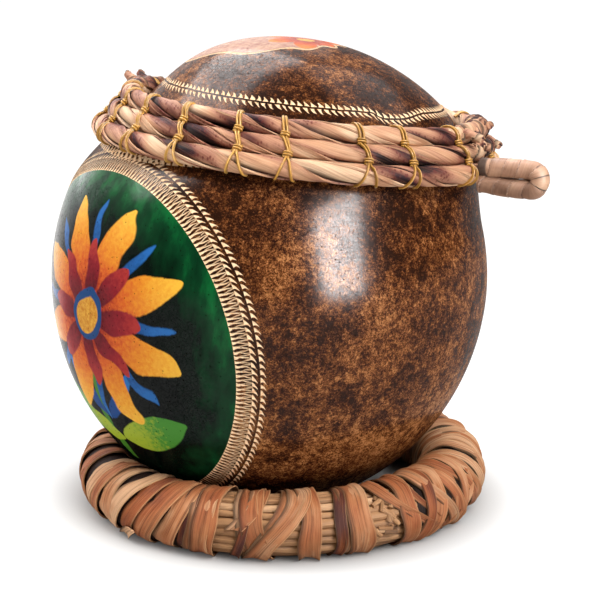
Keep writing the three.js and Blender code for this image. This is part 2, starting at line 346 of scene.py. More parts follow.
def panel_picture(place, right, up, share):
    """Ground and folk flower of the painted panel. share is 0 at its middle and 1 at its edge."""
    brush = cloud(place, 0.22, 4.0, 0.6, (1, 1, 0.35))
    # Besides its brighter green edge, the ground is darker toward the bottom and lighter toward the top: painted
    # shade.
    ground = ramp(rise(share, 0.5, 1.05) * 0.65 + brush * 0.7 - 0.26 + up * 0.002,
                  (0.15, "030605"), (0.45, "040f08"), (0.72, "073018"), (1.0, "0e632e"))
    streak = cloud(place, 0.7, 4.0, 0.65)
    sway = cloud(place, 0.07, 1.0)
    right, up = right + (sway - 0.5) * 9, up + (sway - 0.5) * 7 + (streak - 0.5) * 0.8
    bend = up * 0.05
    stem = rise(1.6 - abs(right - 8 - bend.math("SINE", bend) * 4), -0.3, 0.3) * band(up, -44, 3)
    colour = blend(stem, ground, paint("3c6b22"))
    for foot, angle, length, width, near, far in (
        ((8, -34), 20, 36, 13, "8a9a2c", "3f7a2c"), ((8, -34), 160, 36, 13, "8a9a2c", "3f7a2c"),
        ((9, -24), 50, 27, 6, "153a70", "245f9c"), ((7, -24), 130, 27, 6, "153a70", "245f9c"),
    ):
        leaf_along, leaf_side = turned_axes(right, up, foot, math.radians(angle))
        leaf, leaf_share = lens(leaf_along, leaf_side, length, width)
        colour = blend(leaf, colour, ramp(leaf_share + streak * 0.9 - 0.45, (0.35, near), (0.65, far)))
    flower = right - 8, up - 13
    for count, turn, start, length, width, stops in (
        (16, 0.5, 14, 24, 3.6, ((0.2, "10305f"), (0.8, "245a96"))),
        (8, 0.0, 6, 34, 12, ((0.05, "8a2414"), (0.3, "b8521f"), (0.6, "c97c24"), (0.95, "d6a236"))),
        (8, 0.5, 4, 21, 7.5, ((0.1, "470b12"), (0.55, "761820"), (0.9, "962c28"))),
    ):
        petal, reach = petal_ring(*flower, count, turn, start, length, width)
        colour = blend(petal, colour, ramp(reach + streak * 0.7 - 0.35, *stops))
    middle = flower[0] * flower[0] + flower[1] * flower[1]
    colour = blend(1 - rise(middle, 58, 66), colour, paint("173a68"))
    return blend(1 - rise(middle, 27, 33), colour, ramp(streak, (0.35, "a8691d"), (0.7, "cb9a38")))


def lacquer(shade, colour, place, cut, dark, extra=0):
    """Clear lacquer over the skin and the cuts, pricked by pores and thin at the foot. extra thickens it."""
    colour = blend(dark, colour, cut_dark)
    grain = cloud(place, 1.1, 3.0, 0.7)
    colour = blend(cut, colour, ramp(grain, (0.3, "d3a275"), (0.6, "f5d5ad")))
    pore = 1 - rise(cells(place, 0.5), 0.08, 0.16)
    colour = blend(pore * 0.7, colour, paint("0a0503"))
    fine = cloud(place, 2.2, 4.0, 0.7)
    cloudy = cloud(place, 0.12, 4.0, 0.7)
    crack = 1 - rise(cells(place, 0.4, feature="DISTANCE_TO_EDGE"), 0.0, 0.06)
    height = fine * 0.02 + cloud(place, 0.3, 2.0) * 0.06 - cut * 0.3 - dark * 0.1 - pore * 0.06
    clear = (1 - pore) * (1 - cut * 0.7) * (1 - crack * 0.45)
    coat = 0.07 + rise(fine, 0.38, 0.6) * 0.16 + rise(cloudy, 0.3, 0.6) * 0.06 + extra
    thick = rise(along(place, (0, 0, 1)), -78, -20) * clear * coat
    surface(shade, Base_Color=colour, Roughness=0.35 + cut * 0.3, Specular_IOR_Level=0.0,
            Normal=bump(shade, height, 0.9), Coat_Weight=thick, Coat_Roughness=0.19)


def bowl_finish():
    finish, shade = new_finish("gourd_bowl_skin")
    place = gourd_place(shade)
    aim = place.add("VectorMath", {"operation": "NORMALIZE"}, {0: place})
    ahead = along(aim, panel_out)
    off = ahead.math("ARCCOSINE", ahead)
    right, up = along(aim, panel_right), along(aim, panel_up)
    angle = right.math("ARCTAN2", up, right)
    bulge = angle * 2 - 2 * panel_turn
    edge = panel_reach + panel_stretch * bulge.math("COSINE", bulge)
    across = (off - edge) * bowl_radius
    jitter = cloud(place, 0.35, 1.0) * 0.5
    cut, dark = panel_border(angle * (border_teeth / full_turn) + jitter, across)
    height = along(place, (0, 0, 1))
    east, north = along(place, (1, 0, 0)), along(place, (0, 1, 0))
    turn = east.math("ARCTAN2", north, east)
    sag = rise(along(place, (-1, 0, 0)), 8, 60) * under_rim_sag
    rim_step = turn * (under_rim_teeth / full_turn) + jitter
    under_rim = wedge_row(rim_step, height + sag, under_rim_low, under_rim_high, 0.3, 0.8)
    reach = bowl_radius * off
    turn_share = angle.math("COSINE", angle), angle.math("SINE", angle)
    picture = panel_picture(place, reach * turn_share[0], reach * turn_share[1], off / edge)
    on_panel = 1 - rise(across, -0.2, 0.2)
    colour = blend(on_panel, skin(place), picture)
    far_side = rise(0 - turn.math("COSINE", turn), 0.84, 1.0)
    lacquer(shade, colour, place, cut | under_rim, dark, on_panel * far_side * panel_gloss)
    return finish


def shell_finish():
    finish, shade = new_finish("gourd_inside")
    place = gourd_place(shade)
    pith = cloud(place, 0.25, 5.0, 0.65)
    surface(shade, Base_Color=ramp(pith, (0.3, "a9845a"), (0.7, "d6b98c")), Roughness=0.85,
            Normal=bump(shade, pith * 0.4))
    return finish


def shell_sheet(outer, inner):
    return {"points": turned(np.concatenate([outer, inner]))}


bowl_edge = lid_cut - lid_gap / 2
outer_top = angle_at(bowl_edge, gourd_crown, shoulder_power)
lower = outline(np.linspace(-math.pi / 2, 0, 90)[:-1], bowl_radius, bowl_foot, belly_power)
upper = outline(np.linspace(0, outer_top, 50), bowl_radius, gourd_crown, shoulder_power)
outer = np.concatenate([lower, upper])
inner_top = angle_at(bowl_edge, gourd_crown - shell, shoulder_power)
inner = np.concatenate([
    outline(np.linspace(inner_top, 0, 20)[:-1], bowl_radius - shell, gourd_crown - shell, shoulder_power),
    outline(np.linspace(0, -math.pi / 2, 36), bowl_radius - shell, bowl_foot - shell, belly_power)])
bowl_sheet = shell_sheet(outer, inner)
# The foot is worn flat where it touches the floor.
bowl_sheet["points"][..., 2] = np.maximum(bowl_sheet["points"][..., 2], 0)
bowl = build("gourd_bowl_skin", [bowl_sheet], bowl_finish(), ["gourd_bowl"], crease=shell_crease)
inside = shell_finish()


def line_inside(piece, rows):
    """The inner faces, and the cut edge, take the bare shell's finish."""
    piece.data.materials.append(inside)
    which = np.zeros(len(piece.data.polygons), int)
    which[rows * round_steps:] = 1
    piece.data.polygons.foreach_set("material_index", which)


line_inside(bowl, len(outer) - 1)

# Gourd lid. The top cut from the same gourd, a shallow dome of the same shell and lacquer. A herringbone band is
# etched round it above the rim, and a small round patch on top is painted and outlined with a cut line.

lid_radius, lid_power = 69.6, 2.2
band_height, band_slope, band_teeth, band_middle = 63.7, 1.35, 136, 5.5
patch_middle, patch_reach, patch_scallops = (-9.0, 4.0), 25.0, 9
blossom, blossom_petals = (13.0, -9.0), 6


def herringbone(turn, across):
    """Two rows of teeth that lean away from one dark line."""
    step = turn * (band_teeth / full_turn)
    above = wedge_row(step, across, 0.35, 2.0, 0.34, 0.0, 0.45)
    below = wedge_row(step + 0.3, 0.0 - across, 0.35, 2.2, 0.26, -0.3, -0.4)
    return above | below, band(across, -0.22, 0.22) * 0.7 | band(across, -2.4, 2.2, 0.5) * 0.2


def lid_finish():
    finish, shade = new_finish("gourd_lid_skin")
    place = gourd_place(shade)
    east, north, height = (along(place, axis) for axis in ((1, 0, 0), (0, 1, 0), (0, 0, 1)))
    jitter = cloud(place, 0.35, 1.0) * 0.02
    turn = east.math("ARCTAN2", north, east - band_middle) + jitter
    # The hand slipped once, at the front right, and the band dips there.
    slip = rise(turn, -1.12, -1.0) * (1 - rise(turn, -0.9, -0.6)) * 1.6
    cut, dark = herringbone(turn, (height - band_height + slip + jitter * 25) * band_slope)
    right, up = east - patch_middle[0], north - patch_middle[1]
    reach = length_of(right, up)
    wave = turn * patch_scallops
    scallop = wave.math("SINE", wave) * 1.2
    on_patch = 1 - rise(reach + scallop, patch_reach - 0.3, patch_reach + 0.3)
    brush = cloud(place, 0.5, 4.0, 0.6)
    ground = ramp(brush, (0.3, "8a6255"), (0.5, "a27c6b"), (0.7, "b5947e"))
    right, up = right - blossom[0], up - blossom[1]
    petal, share = petal_ring(right, up, blossom_petals, 0.0, 2, 12, 8)
    red = ramp(share + brush * 0.5 - 0.25, (0.1, "7c2418"), (0.5, "a8461f"), (0.9, "bf7034"))
    picture = blend(petal, ground, red)
    heart = right * right + up * up
    picture = blend(1 - rise(heart, 8, 11), picture, paint("b08334"))
    colour = blend(on_patch, skin(place), picture)
    ring = band(reach + scallop, patch_reach + 0.2, patch_reach + 1.4, 0.2)
    lacquer(shade, colour, place, cut | ring * 0.6, dark)
    return finish


lid_edge = lid_cut + lid_gap / 2
lid_start = angle_at(lid_edge, gourd_crown, lid_power)
lid_outer = outline(np.linspace(lid_start, math.pi / 2, 70), lid_radius, gourd_crown, lid_power)
lid_inner = outline(np.linspace(math.pi / 2, angle_at(lid_edge, gourd_crown - shell, lid_power), 30),
                    lid_radius - shell, gourd_crown - shell, lid_power)
lid_sheet = shell_sheet(np.concatenate([lid_outer, lid_inner]), lid_outer[:1])
lid = build("gourd_lid_skin", [lid_sheet], lid_finish(), ["gourd_lid"], crease=shell_crease)
line_inside(lid, len(lid_outer) - 1)

# Rim coils. Three ropes, each of flat dried leaf strands twisted together, laid one under the other round the
# lid's edge. The leaf is cream to pinkish tan, with spotted red-brown and near-black stretches.

coil_radius, coil_pitch, coil_count, top_coil_level = 3.15, 6.6, 3, 54.7
thread_radius, thread_gap = 0.38, 0.32
coil_gap = 1.4 * lid_gap + 2 * thread_radius + thread_gap
strands, strand_turns = 3, 7
strand_steps, strand_lanes, strand_spread, strand_thick = 420, 11, 1.25, 0.55
inner_strand_spread = 0.14
random = np.random.default_rng(11)


def drift(position, size, waves=(2, 3, 5, 8, 13)):
    """Smooth uneven wander that comes back to itself over a full turn."""
    total = np.zeros_like(position)
    for wave in waves:
        total += np.sin(wave * position + random.uniform(0, full_turn)) * random.uniform(0.4, 1) / len(waves)
    return size * total


coil_rows = []
level = top_coil_level
for _ in range(coil_count):
    radius, power = (lid_radius, lid_power) if level > lid_cut else (bowl_radius, shoulder_power)
    wide, high = outline(angle_at(level, gourd_crown, power), radius, gourd_crown, power)
    facing = math.atan2((high / gourd_crown) ** (power - 1) / gourd_crown, (wide / radius) ** (power - 1) / radius)
    reach = coil_radius + coil_gap
    coil_rows.append((wide + reach * math.cos(facing), high + reach * math.sin(facing), facing))
    level -= coil_pitch * math.cos(facing)


def on_coil(row, turn, around, radius):
    """A point by its place round the rim and round one coil."""
    wide = row[0] + radius * np.cos(around)
    high = row[1] + radius * np.sin(around)
    return np.stack(np.broadcast_arrays(lean(high) + wide * np.cos(turn), wide * np.sin(turn), high), axis=-1)


def closed_section(outer, inner):
    """Points of a strip's section: over the outside, then back along the inside."""
    return np.concatenate([outer, inner[:, ::-1]], axis=1)


def strand_sheet(row, first, start, tint, spread=strand_spread, proud=0.0):
    """One flat strand of a coil, its leading edge lying over the next strand."""
    turn = np.linspace(start, start + full_turn, strand_steps)[:, None]
    share = np.linspace(0, 1, strand_lanes)[None, :]
    middle = first - strand_turns * turn + drift(turn, 0.8)
    around = middle + (2 * share - 1) * spread * (1 + drift(turn, 0.22, (3, 7, 11, 19)))
    lift = 0.72 + 0.3 * smooth(0, 0.5, share) + 0.03 * smooth(0.8, 1, share) + proud
    fold = 0.03 * np.sin(share * 14 + drift(turn, 3.0))
    radius = coil_radius * (lift + fold + drift(turn, 0.08, (9, 17, 23, 31)))
    outside = on_coil(row, turn, around, radius)
    inside_faces = on_coil(row, turn, around, radius - strand_thick)
    grain = np.stack(np.broadcast_arrays(turn * row[0], share * 6, tint), axis=-1)
    return {"points": in_place(closed_section(outside, inside_faces)), "grain": closed_section(grain, grain),
            "ends": True}


def tube(path, radius, sides, tint=0.5, closed=False):
    """A round cord along a path, in the path's own units. Its grain is length, angle and tint."""
    ahead = np.roll(path, -1, axis=0) - np.roll(path, 1, axis=0)
    if not closed:
        ahead[0], ahead[-1] = path[1] - path[0], path[-1] - path[-2]
    ahead /= np.linalg.norm(ahead, axis=1, keepdims=True)
    side = np.zeros_like(path)
    guide = np.array([0.31, 0.22, 0.92])
    for i, way in enumerate(ahead):
        guide = guide - way * (guide @ way)
        guide /= np.linalg.norm(guide)
        side[i] = guide
    other = np.cross(ahead, side)
    angle = np.linspace(0, full_turn, sides, endpoint=False)
    radius = np.broadcast_to(np.asarray(radius, float).reshape(-1, 1, 1), (len(path), 1, 1))
    ring = side[:, None] * np.cos(angle)[:, None] + other[:, None] * np.sin(angle)[:, None]
    length = np.concatenate([[0], np.cumsum(np.linalg.norm(np.diff(path, axis=0), axis=1))])
    grain = np.stack(np.broadcast_arrays(length[:, None], angle[None, :], tint), axis=-1)
    return {"points": path[:, None] + ring * radius, "grain": grain, "wrap": (closed, True), "ends": not closed}


def bound(path, radius, windings, step_depth, tint):
    """A cord in millimetres bound with leaf strip, each winding lying over the edge of the last."""
    cord = tube(path, 1.0, 28, tint)
    length, angle, _ = np.moveaxis(cord["grain"], -1, 0)
    winding = length / length.max() * windings + angle / full_turn + drift(angle, 0.12, (1, 2))
    step = winding - np.floor(winding)
    radius = np.reshape(radius, (-1, 1)) * (1.0 - step_depth * step + 0.02 * np.sin(5 * winding))
    cord["points"] = path[:, None] + (cord["points"] - path[:, None]) * radius[..., None]
    cord["grain"] = np.stack([angle * 6 + np.floor(winding) * 31, step * 6, tint + 0 * step], axis=-1)
    return cord


def knot_sheet(row, begin, end, radius, raise_by, tint):
    """A bound-over end of a coil, standing a little proud of it. begin and end are degrees round the rim."""
    share = np.linspace(0, 1, 70)
    turn = np.radians(begin + (end - begin) * share)
    path = on_coil(row, turn, row[2] + 0.3, raise_by * np.sin(math.pi * share) ** 0.6)
    plump = radius * (0.35 + 0.65 * np.sin(math.pi * np.clip(share, 0.03, 0.97)) ** 0.4)
    knot = bound(path, plump * (1 + drift(turn * 9, 0.12)), 5.5, 0.22, tint)
    knot["points"] = in_place(knot["points"])
    return knot


def leaf_grain(shade, stretch):
    """Where a point is along and across its strip of leaf, in millimetres, drawn out along the fibres."""
    where = shade.add("Attribute", {"attribute_name": "grain"}, out="Vector")
    return where, where.add("VectorMath", {"operation": "MULTIPLY"}, {0: where, 1: stretch})


def rim_leaf_finish():
    finish, shade = new_finish("rim_leaf")
    where, fibres = leaf_grain(shade, (0.05, 2.2, 20.0))
    fibre = cloud(fibres, 1.0, 4.0, 0.6)
    tint = along(where, (0, 0, 1))
    patch = cloud(where, 0.06, 2.0, 0.5, (0.55, 2.2, 40))
    tone = patch * 1.6 + tint * 0.3 - 0.46
    colour = ramp(tone, (0.26, "cfab8a"), (0.38, "bb8d6c"), (0.47, "a97960"), (0.54, "8a5b48"), (0.6, "643a30"),
                  (0.65, "2c151a"), (0.73, "130a0d"))
    colour = blend(rise(fibre, 0.45, 0.75) * 0.55, colour, paint("6e4733"))
    spots = (1 - rise(cells(where, 0.9), 0.25, 0.45)) * band(tone, 0.5, 0.66, 0.05)
    colour = blend(spots * 0.8, colour, paint("5c2722"))
    # Painted shade: each strand is darkened along the edge that tucks under the next.
    tucked_shade = 1 - rise(along(where, (0, 1 / 6, 0)), 0.08, 0.34)
    colour = blend(tucked_shade * 0.8, colour, paint("20120e"))
    surface(shade, Base_Color=colour, Roughness=0.45 + fibre * 0.2, Specular_IOR_Level=0.06,
            Normal=bump(shade, fibre * 0.4 + cloud(where, 1.5) * 0.05))
    return finish


def cut_end(row, begin):
    """A short cut end of leaf that stands out of a knot. begin is degrees round the rim."""
    turn = math.radians(begin)
    foot = on_coil(row, turn, row[2] + random.uniform(-0.3, 1.2), 2.6)
    onward = np.array([-math.sin(turn), math.cos(turn), 0]) * random.uniform(-1.0, 1.0)
    outward = np.array([math.cos(turn), math.sin(turn), random.uniform(-0.3, 0.9)]) * random.uniform(0.5, 1.0)
    way = onward + outward
    length = np.linspace(0, random.uniform(4.5, 7.5), 9)[:, None]
    curl = np.array([0, 0, -0.02]) * length**2
    path = foot + way / np.linalg.norm(way) * length + curl
    end = bound(path, np.linspace(2.2, 1.5, len(path)), 1.2, 0.3, random.uniform(0, 1))
    end["points"] = in_place(end["points"])
    return end


rim_leaf = rim_leaf_finish()
# Where each coil's strands begin and end, in radians round the rim: behind a knot or the loop.
coil_ends = (2.75, 0.05, -0.1)
coil_knots = {
    "upper": [(-44, 20, 3.9, 1.6, 0.62), (142, 184, 3.6, 1.2, 0.45)],
    "middle": [(-36, 8, 3.5, 1.5, 0.3)],
    "lower": [],
}
coil_cut_ends = {"upper": (-32, -24, -15, -8, 150, 158, 167), "middle": (-27, -17, -6), "lower": ()}
for number, (name, row) in enumerate(zip(coil_knots, coil_rows)):
    first = random.uniform(0, full_turn)
    sheets = [knot_sheet(row, *knot) for knot in coil_knots[name]]
    sheets += [cut_end(row, begin) for begin in coil_cut_ends[name]]
    for k in range(strands):
        place = first + full_turn * k / strands
        sheets.append(strand_sheet(row, place, coil_ends[number], random.uniform(0, 1)))
        tint = random.uniform(0, 1)
        sheets.append(strand_sheet(row, place + 0.9, coil_ends[number], tint, inner_strand_spread, 0.02))
    build(f"rim_rope_{name}", sheets, rim_leaf, [f"rim_coil_{name}"], crease=50)

# Rim thread. Ochre waxed thread sewn through the lid, over all three coils and back, doubled, with a hitch between
# the coils and its two ends spread over the lowest coil.

stitch_slant, stitch_thick, stitch_steps, thread_sides, coil_touch = 0.03, 0.46, 64, 7, 38
hitch_thick, hitch_steps, hitch_turns, hitch_wide, hitch_deep = 0.42, 44, 2.6, 1.15, 0.75
stitch_places = (-160, -144, -126.5, -108.5, -95, -73.3, -59.7, -37, -18, 0,
                 18, 35, 53, 70, 88, 105, 123, 141, 159, 177)


def spline(points, count):
    """A smooth run of points through the given ones."""
    points = np.asarray(points, float)
    padded = np.concatenate([2 * points[:1] - points[1:2], points, 2 * points[-1:] - points[-2:-1]])
    place = np.linspace(0, len(points) - 1, count)
    i = np.minimum(place.astype(int), len(points) - 2)
    t = (place - i)[:, None]
    a, b, c, d = (padded[i + k] for k in range(4))
    return 0.5 * (2 * b + (c - a) * t + (2 * a - 5 * b + 4 * c - d) * t**2 + (3 * b - a - 3 * c + d) * t**3)


def thread_finish():
    finish, shade = new_finish("waxed_thread")
    where = shade.add("Attribute", {"attribute_name": "grain"}, out="Vector")
    lay = along(where, (5.0, 2.0, 0))
    ply = lay.math("SINE", lay)
    tint = cloud(where, 0.3, 2.0)
    surface(shade, Base_Color=ramp(tint + ply * 0.08, (0.3, "8f6424"), (0.5, "b98536"), (0.7, "cfa052")),
            Roughness=0.42, Specular_IOR_Level=0.3, Normal=bump(shade, ply * 0.12))
    return finish


def over_coils(turn, lift, spread, start=115, finish=-120):
    """A thread's path from the lid, over the coils and under the lowest. spread is its offset in mm, by coil."""
    points = []
    for number, row in enumerate(coil_rows):
        top = start if number == 0 else coil_touch
        low = finish if number == coil_count - 1 else -coil_touch
        for step in np.linspace(top, low, 6 if number != 1 else 4):
            share = (top - step) / (top - low)
            offset = spread[number] + (spread[number + 1] - spread[number]) * share
            place = turn + stitch_slant * (number - 1 + share) + offset / row[0]
            points.append(on_coil(row, place, row[2] + math.radians(step), coil_radius + lift))
    return spline(points, stitch_steps)


def hitch(turn, number, lift):
    """Turns of thread drawn round the doubled thread between two coils."""
    upper, lower = coil_rows[number], coil_rows[number + 1]
    heart = (on_coil(upper, turn, upper[2] - 0.75, coil_radius + lift)
             + on_coil(lower, turn, lower[2] + 0.75, coil_radius + lift)) / 2
    way = on_coil(lower, turn, lower[2], coil_radius) - on_coil(upper, turn, upper[2], coil_radius)
    way /= np.linalg.norm(way)
    side = np.array([-math.sin(turn), math.cos(turn), 0])
    out = np.cross(side, way)
    angle = np.linspace(0, hitch_turns * full_turn, hitch_steps)[:, None]
    wind = np.linspace(-1.0, 1.0, hitch_steps)[:, None]
    return heart + hitch_wide * np.cos(angle) * side + hitch_deep * np.sin(angle) * out + wind * way


sheets = []
for i, place in enumerate(stitch_places):
    turn = math.radians(place)
    splay = random.uniform(2.2, 4.2), random.uniform(1.4, 3.6)
    close = random.uniform(0.35, 0.6)
    for side, way in ((-1, splay[0]), (1, splay[1])):
        path = over_coils(turn, 0.42, (side * close, side * close * 1.3, side * 0.3, side * way))
        sheets.append(tube(in_place(path), stitch_thick / 1000, thread_sides, i))
    for number in range(coil_count - 1):
        if random.uniform() < 0.8:
            path = hitch(turn + stitch_slant * number, number, 0.3)
            sheets.append(tube(in_place(path), hitch_thick / 1000, thread_sides, i))
build("rim_thread", sheets, thread_finish(), ["rim_stitching"], crease=60)

# Lift loop. A cord bound edge to edge with leaf strip and folded double, to lift the lid by. Its root is tied in
# at the rim with dark leaf, and two thin dark ties hold the bend.

lift_azimuth, loop_droop = math.radians(-30), math.radians(-4)
loop_cord, loop_length = 3.2, 15.8
loop_spread, loop_windings = 3.1, 9


def loop_path():
    bend = np.linspace(math.pi / 2, -math.pi / 2, 40)
    out = np.linspace(-1.2, loop_length, 60)
    top = np.stack([out, 0 * out, np.full_like(out, loop_spread) - 0.6 * smooth(8, 0, out)], axis=-1)
    tip = np.stack([loop_length + loop_spread * np.cos(bend), 0 * bend, loop_spread * np.sin(bend)], axis=-1)[1:-1]
    under = top[::-1] * (1, 1, -1)
    return np.concatenate([top, tip, under])


def loop_sheet():
    cord = bound(loop_path(), loop_cord, loop_windings, 0.06, 0.4)
    cord["grain"][..., 2] = np.linspace(0, 1, len(cord["grain"]))[:, None]
    yaw, droop = lift_azimuth, loop_droop
    x, y, z = np.moveaxis(cord["points"], -1, 0)
    x, z = x * math.cos(droop) + z * math.sin(droop), z * math.cos(droop) - x * math.sin(droop)
    x, y = x * math.cos(yaw) - y * math.sin(yaw), x * math.sin(yaw) + y * math.cos(yaw)
    root = on_coil(coil_rows[-1], yaw, 0.0, coil_radius + 0.95)
    cord["points"] = in_place(np.stack([x, y, z], axis=-1) + root)
    return cord


def loop_finish():
    finish, shade = new_finish("loop_leaf")
    where, fibres = leaf_grain(shade, (0.06, 1.6, 1.0))
    edge = along(where, (0, 1 / 6, 0))
    fibre = cloud(fibres, 1.0, 4.0, 0.6)
    tint = cloud(where, 0.05, 2.0)
    colour = ramp(tint + fibre * 0.3 - 0.1, (0.3, "c29c7d"), (0.5, "a98066"), (0.7, "7d5943"))
    seam = rise(edge, 0.93, 0.97) | (1 - rise(edge, 0.0, 0.03))
    colour = blend(seam * 0.85, colour, paint("4a2c1e"))
    share = along(where, (0, 0, 1))
    tie = band(share, 0.47, 0.476, 0.003) | band(share, 0.535, 0.541, 0.003) | (1 - rise(share, 0.05, 0.07))
    # Painted shade: the lower limb, past the bend, is darkened.
    colour = blend(rise(share, 0.5, 0.62) * 0.35, colour, paint("4d3324"))
    colour = blend(tie * 0.9, colour, paint("24130d"))
    surface(shade, Base_Color=colour, Roughness=0.42 + fibre * 0.2, Specular_IOR_Level=0.25,
            Normal=bump(shade, fibre * 0.2 - seam * 0.3))
    return finish


build("lift_loop_binding", [loop_sheet()], loop_finish(), ["lift_loop"], crease=50)

# Ring straw bundle. Dry straws bent into a ring for the gourd to stand in, and held together by the leaf bound
# round them. They show where the binding leaves gaps, and some are crushed to short bits.

ring_middle, ring_radius, ring_height = (4.65, -1.0), 60.2, 10.2
straw_count, straw_radius, straw_lay, straw_steps = 19, 1.55, 8.1, 150
crushed_count, crushed_lay = 16, 9.6


def on_ring(turn, around, radius):
    reach = ring_radius + radius * np.cos(around)
    points = np.broadcast_arrays(ring_middle[0] + reach * np.cos(turn), ring_middle[1] + reach * np.sin(turn),
                                 ring_height + radius * np.sin(around))
    return np.stack(points, axis=-1) / 1000


def straw_finish():
    finish, shade = new_finish("dry_straw")
    where, fibres = leaf_grain(shade, (0.04, 3.0, 1.0))
    fibre = cloud(fibres, 1.0, 3.0, 0.6)
    tint = cloud(where, 0.08, 3.0, 0.6, (0.4, 0.4, 2.0))
    dryness = tint * 1.2 + fibre * 0.3 - 0.27
    colour = ramp(dryness, (0.28, "3a2417"), (0.42, "8a6240"), (0.56, "b88b62"), (0.7, "cfa984"))
    surface(shade, Base_Color=colour, Roughness=0.6, Specular_IOR_Level=0.1, Normal=bump(shade, fibre * 0.3))
    return finish


sheets = []
for i in range(straw_count):
    turn = np.linspace(0, full_turn, straw_steps, endpoint=False)
    around = full_turn * i / straw_count + drift(turn, 0.16)
    lay = straw_lay + drift(turn, 0.45, (5, 9, 14, 21)) + random.uniform(-0.35, 0.35)
    thick = straw_radius * random.uniform(0.8, 1.1) / 1000
    sheets.append(tube(on_ring(turn, around, lay), thick, 8, 7.0 * i, closed=True))
for i in range(crushed_count):
    middle, around = math.radians(random.uniform(-64.5, -57.0)), math.radians(random.uniform(-25, 60))
    reach, tilt = random.uniform(1.2, 2.4), random.uniform(-1.2, 1.2)
    share = np.linspace(-1, 1, 6) * reach
    turn = middle + share * math.cos(tilt) / ring_radius
    path = on_ring(turn, around + share * math.sin(tilt) / 9, crushed_lay)
    sheets.append(tube(path, random.uniform(0.6, 1.0) / 1000, 7, 3.0 * i))
build("ring_straws", sheets, straw_finish(), ["ring_straw_bundle"], crease=60)

# Ring leaf binding. Flat strips of dried leaf wound round the straw, over a near-black first layer except at the
# front, where the straw shows; that layer is painted shade for the gaps between the strips. They lap at the left,
# one crosses the others at the front, and at the right they are split fine. Their ends are tucked under, and the
# edge of each strip that lies under the next is darkened as painted shade.

strip_thick, strip_rise = 0.5, 0.6
nearest_lay, farthest_lay, gourd_clearance = 7.0, 14.0, 0.3
shade_layer_tint, shade_layer_lay, shade_layer_width, shade_layer_step = 0.0, 9.75, 13.0, 8
left_start, left_end, right_start, right_end, back_end = -30.5, -108, 41.0, 108, 248


def gourd_room(turn, around):
    """How far out from the bundle's middle a strip can lie before it meets the gourd."""
    shape = np.broadcast(turn, around).shape
    low, high = np.full(shape, nearest_lay), np.full(shape, farthest_lay)
    cos, sin = math.cos(gourd_tilt), math.sin(gourd_tilt)
    for _ in range(22):
        middle = (low + high) / 2
        x, y, z = np.moveaxis(on_ring(turn, around, middle) * 1000, -1, 0)
        x, z = x - belly_side, z - belly_height
        x, z = cos * x - sin * z, sin * x + cos * z
        wide, deep = bowl_radius + gourd_clearance, bowl_foot + gourd_clearance
        clear = (x**2 + y**2) / wide**2 + (z / deep) ** 2 > 1
        low, high = np.where(clear, middle, low), np.where(clear, high, middle)
    return low


def strip_sheet(number, front, width, slant, lay, tint, lap=0.45, bulge=-0.4, hem=0.4, begin=-160, wind=372):
    """One strip wound round the bundle. front is its place, in degrees from the middle of the front."""
    steps, lanes = (48, 3) if tint == shade_layer_tint else (76, 7 if width > 5.5 else 5)
    around = np.radians(np.linspace(begin, begin + wind, steps))[:, None]
    share = np.linspace(-1, 1, lanes)[None, :]
    home = math.radians(front - 90) + math.radians(slant) * np.sin(around) + drift(around, 0.02, (1, 2, 3))
    half = width / 2 * (1 + drift(around, 0.16, (2, 3, 5)))
    turn = home + share * half / (ring_radius + 0.55 * lay * np.cos(around) + 4)
    cup = -bulge * share**2 * (1 + drift(around, 1.8, (2, 5)))
    ripple = 0.1 * np.sin(7 * share + drift(around, 4.0, (1, 2)))
    wander = drift(around, 0.3, (2, 3, 4, 7)) + strip_rise * np.linspace(0, 1, steps)[:, None]
    radius = lay + lap * share + cup + ripple + hem * (share < -0.6) + wander
    radius = np.minimum(radius, gourd_room(turn, around) - 0.1)
    outside = on_ring(turn, around, radius)
    inside_faces = on_ring(turn, around, radius - strip_thick)
    for faces, low in ((outside, 0.0), (inside_faces, 0.25)):
        faces[..., 2] = np.maximum(faces[..., 2], low / 1000)
    grain = np.stack(np.broadcast_arrays(around * lay + 97 * number, share * 5, tint), axis=-1)
    return {"points": closed_section(outside, inside_faces), "grain": closed_section(grain, grain), "ends": True}


def ring_leaf_finish():
    finish, shade = new_finish("ring_leaf")
    where, fibres = leaf_grain(shade, (0.03, 1.5, 1.0))
    across, tint = along(where, (0, 0.2, 0)), along(where, (0, 0, 1))
    fibre = cloud(fibres, 1.0, 5.0, 0.7)
    blotch = cloud(where, 0.12, 3.0, 0.55, (0.5, 1.0, 1.0))
    colour = ramp(tint * 0.8 + blotch * 0.95 - 0.26,
                  (0.05, "33191a"), (0.25, "56312a"), (0.5, "945230"), (0.72, "a96e48"), (0.95, "c59974"))
    colour = blend(rise(fibre, 0.45, 0.7) * 0.75, colour, paint("3d2115"))
    colour = blend((1 - rise(fibre, 0.28, 0.42)) * 0.5, colour, paint("c2956c"))
    # Pale lines along both edges: partly the leaf's pale cut edges, partly painted highlight.
    rim = rise(abs(across), 0.88, 0.96)
    colour = blend(rim * 0.4, colour, paint("c29a6e"))
    # Painted shade: each strip is darkened along the edge that lies under the next.
    tucked_shade = 1 - rise(across, -0.95, -0.45)
    colour = blend(tucked_shade * 0.75, colour, paint("22110b"))
    # The near-black first layer: painted shade in the gaps between the strips.
    colour = blend(1 - rise(tint, 0.0, 0.04), colour, paint("1c0e09"))
    surface(shade, Base_Color=colour, Roughness=0.46 + fibre * 0.25, Specular_IOR_Level=0.06,
            Normal=bump(shade, fibre * 0.4 + blotch * 0.1))
    return finish


